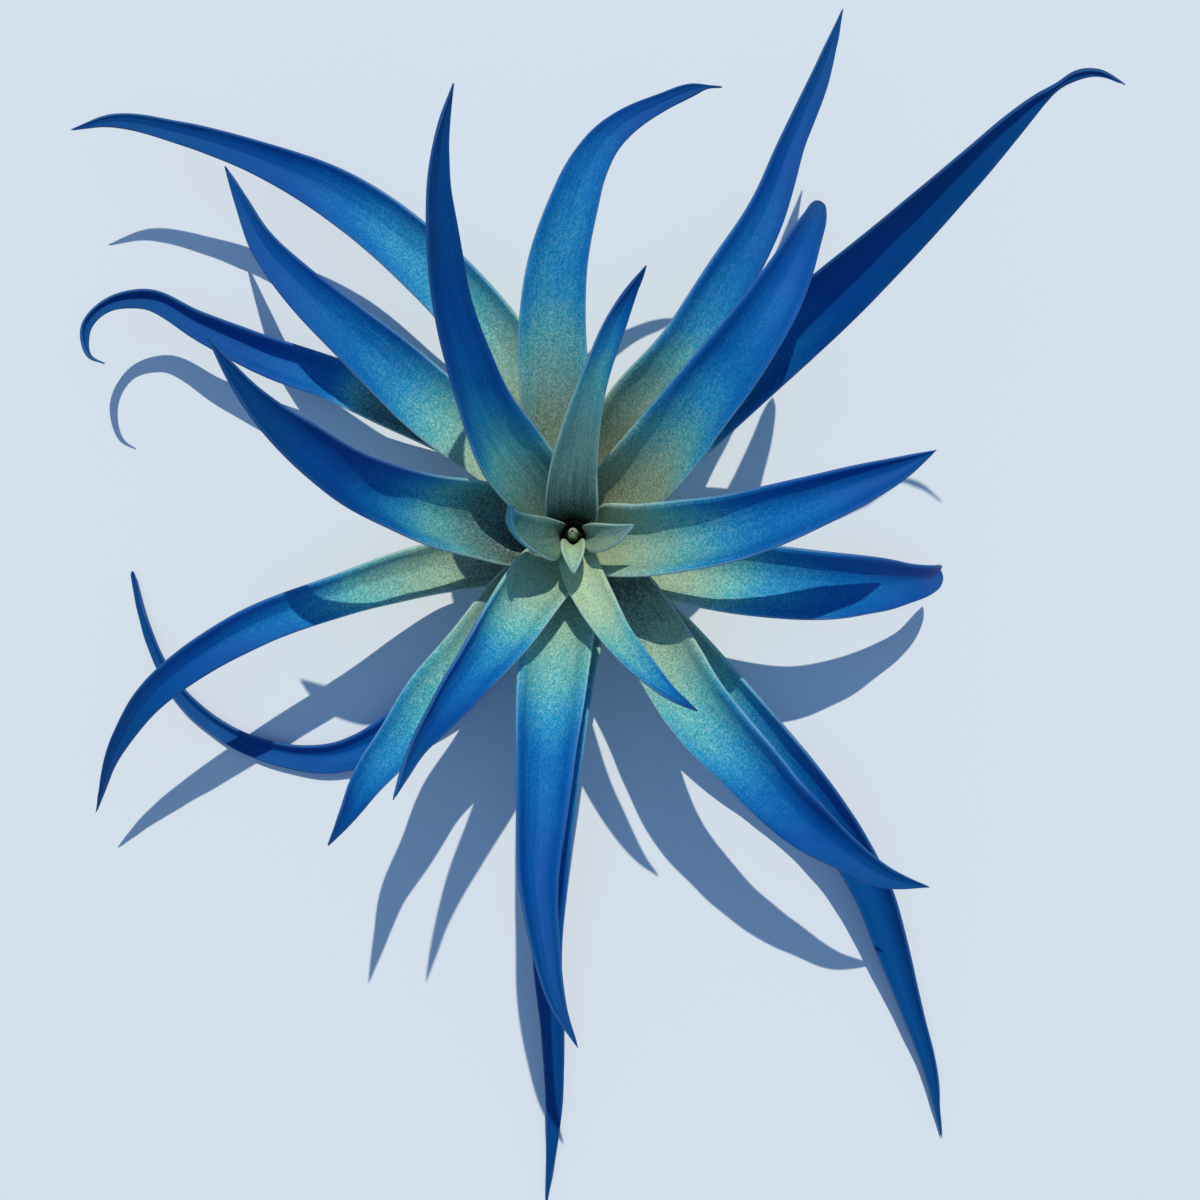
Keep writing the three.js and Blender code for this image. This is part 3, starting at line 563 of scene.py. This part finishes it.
def rollBud():
    leaf = addGrid("bud_leaf", bud["around"], bud["rings"])
    mesh = leaf.data
    spots = [((vertex.co.x + 1) / 2, (vertex.co.y + 1) / 2) for vertex in mesh.vertices]

    def mapsAt(index):
        around, share = spots[index]
        return (bud["mapFrom"] + bud["mapWidth"] * around, share), bud["tipDye"] * share
    addMaps(mesh, mapsAt)
    leaning = Quaternion((1, 0, 0), -math.radians(bud["lean"]))
    for vertex, (around, share) in zip(mesh.vertices, spots):
        closing = mix(1, bud["closing"], eased(share, bud["closingFrom"], 1))
        radius = mix(bud["radius"], bud["tipRadius"], share) - bud["inset"]
        radius *= mix(1, bud["innerShare"], around) * closing
        angle = 2 * math.pi * bud["turns"] * around
        height = share * bud["height"] * (1 - bud["slant"] * (1 - around)) - bud["inset"] * share
        point = leaning @ Vector((radius * math.cos(angle), radius * math.sin(angle), height))
        vertex.co = (point + Vector((0, 0, bud["foot"]))) * mm
    applyModifier(leaf, "SOLIDIFY", thickness=bud["thickness"] * mm, offset=0)
    faceOutward(leaf)
    return leaf


finishPiece(rollBud(), "bud", skins["cream"])

# Stem: dry bark on a flat cut base, darker where the heart shades it. Each leaf root left a ridge
# and a groove: its profile gives shares of a ring's step, and how deep the bark lies there.
bark = {
    "sides": 48, "baseEdge": 0.3, "ringFrom": 2.2, "ringStep": 1.7,
    "ringProfile": [(0, 0.05), (0.3, 0.05), (0.55, 0.45)],
    "brown": tone(112, 92, 62), "dark": tone(46, 36, 26), "patchScale": 260.0, "patchDetail": 4.0,
    "patchCells": (0.35, 0.65), "patchRelief": 0.5,
    "dry": tone(158, 138, 100), "fibreStretch": (900, 900, 180), "fibreDetail": 6.0,
    "fibreCells": (0.5, 0.7), "fibreShare": 0.6,
    "paintedShade": tone(20, 30, 27), "shadedFrom": 30 * mm, "shadedTo": 42 * mm,
    "bumpDepth": 0.5 * mm, "roughness": 0.9, "specular": 0.15,
}


def barkSkin():
    material = bpy.data.materials.new("barkSkin")
    material.use_nodes = True
    add, sums, span, blend, noise = nodeMaker(material)
    links = material.node_tree.links
    surface = material.node_tree.nodes["Principled BSDF"]
    place = add("ShaderNodeTexCoord").outputs["Object"]
    fibres = noise(place, bark["fibreDetail"], stretch=bark["fibreStretch"])
    patches = noise(place, bark["patchDetail"], bark["patchScale"])
    colour = blend(span(patches, *bark["patchCells"]), bark["dark"], bark["brown"])
    dry = sums("MULTIPLY", span(fibres, *bark["fibreCells"]), bark["fibreShare"])
    colour = blend(dry, colour, bark["dry"])
    height = add("ShaderNodeSeparateXYZ", {0: place}).outputs["Z"]
    colour = blend(span(height, bark["shadedFrom"], bark["shadedTo"]), colour, bark["paintedShade"])
    links.new(colour, surface.inputs["Base Color"])
    relief = sums("ADD", fibres, sums("MULTIPLY", patches, bark["patchRelief"]))
    bump = add("ShaderNodeBump", {"Height": relief, "Strength": 1.0, "Distance": bark["bumpDepth"]})
    links.new(bump.outputs[0], surface.inputs["Normal"])
    surface.inputs["Roughness"].default_value = bark["roughness"]
    surface.inputs["Specular IOR Level"].default_value = bark["specular"]
    return material


def raiseRing(radius, lastRadius, rise):
    bpy.ops.mesh.extrude_region_move(TRANSFORM_OT_translate={"value": (0, 0, rise * mm)})
    bpy.ops.transform.resize(value=(radius / lastRadius, radius / lastRadius, 1))


def growStem():
    deselectAll()
    radius, z = stem["baseRadius"] - stem["edge"], 0
    bpy.ops.mesh.primitive_circle_add(vertices=bark["sides"], radius=radius * mm, fill_type="NGON")
    trunk = bpy.context.object
    trunk.name = trunk.data.name = "stem_bark"
    profile = [(stem["baseRadius"] - bark["baseEdge"], bark["baseEdge"]),
               (stem["baseRadius"], stem["edge"])]
    height = bark["ringFrom"]
    while height < stem["height"] - bark["ringStep"]:
        for part, depth in bark["ringProfile"]:
            at = height + part * bark["ringStep"]
            profile.append((stemRadius(at) - depth, at))
        height += bark["ringStep"]
    profile.append((stem["topRadius"], stem["height"]))
    bpy.ops.object.mode_set(mode="EDIT")
    bpy.ops.mesh.select_all(action="SELECT")
    for nextRadius, nextZ in profile:
        raiseRing(nextRadius, radius, nextZ - z)
        radius, z = nextRadius, nextZ
    bpy.ops.object.mode_set(mode="OBJECT")
    faceOutward(trunk)
    return trunk


finishPiece(growStem(), "stem", barkSkin())
print("bud and stem made")

# Floor, sunlight from the top of the view, sky fill with a soft box overhead, and the camera
# straight above. The floor's drop and the camera's place are in millimetres.
stage = {
    "floorSize": 3.0, "floorDrop": 0.2, "floorColour": tone(230, 238, 249),
    "floorRoughness": 0.9, "floorSpecular": 0.1,
    "sunPlace": (0, 0.3, 0.6), "sunPath": (-0.057, -0.583, -1.0), "sunColour": (1.0, 0.925, 0.721),
    "sunStrength": 2.515, "sunSoftness": 0.45,
    "softBoxSize": 0.8, "softBoxHeight": 0.9, "softBoxColour": (0.364, 0.61, 1.0), "softBoxPower": 1.475,
    "skyColour": (0.084, 0.141, 0.231, 1), "skyStrength": 1.0,
    "eye": (5.2, -12.5, 340), "lens": 45, "filmWidth": 36,
}

deselectAll()
bpy.ops.mesh.primitive_plane_add(size=stage["floorSize"], location=(0, 0, -stage["floorDrop"] * mm))
floor = bpy.context.object
floor.name = "floor"
floorPaint = bpy.data.materials.new("floorPaint")
floorPaint.use_nodes = True
floorSurface = floorPaint.node_tree.nodes["Principled BSDF"]
floorSurface.inputs["Base Color"].default_value = stage["floorColour"]
floorSurface.inputs["Roughness"].default_value = stage["floorRoughness"]
floorSurface.inputs["Specular IOR Level"].default_value = stage["floorSpecular"]
floor.data.materials.append(floorPaint)

bpy.ops.object.light_add(type="SUN", location=stage["sunPlace"])
sun = bpy.context.object
sun.rotation_mode = "QUATERNION"
sun.rotation_quaternion = Vector(stage["sunPath"]).to_track_quat("-Z", "Y")
sun.data.color = stage["sunColour"]
sun.data.energy = stage["sunStrength"]
sun.data.angle = math.radians(stage["sunSoftness"])

bpy.ops.object.light_add(type="AREA", location=(0, 0, stage["softBoxHeight"]))
softBox = bpy.context.object
softBox.data.shape = "DISK"
softBox.data.size = stage["softBoxSize"]
softBox.data.color = stage["softBoxColour"]
softBox.data.energy = stage["softBoxPower"]

sky = bpy.data.worlds.new("paleSky")
bpy.context.scene.world = sky
sky.use_nodes = True
skyLight = sky.node_tree.nodes["Background"]
skyLight.inputs["Color"].default_value = stage["skyColour"]
skyLight.inputs["Strength"].default_value = stage["skyStrength"]

bpy.ops.object.camera_add(location=[v * mm for v in stage["eye"]], rotation=(0, 0, 0))
camera = bpy.context.object
camera.data.lens = stage["lens"]
camera.data.sensor_width = stage["filmWidth"]
bpy.context.scene.camera = camera
bpy.context.scene.view_settings.view_transform = "Standard"
print("stage set")
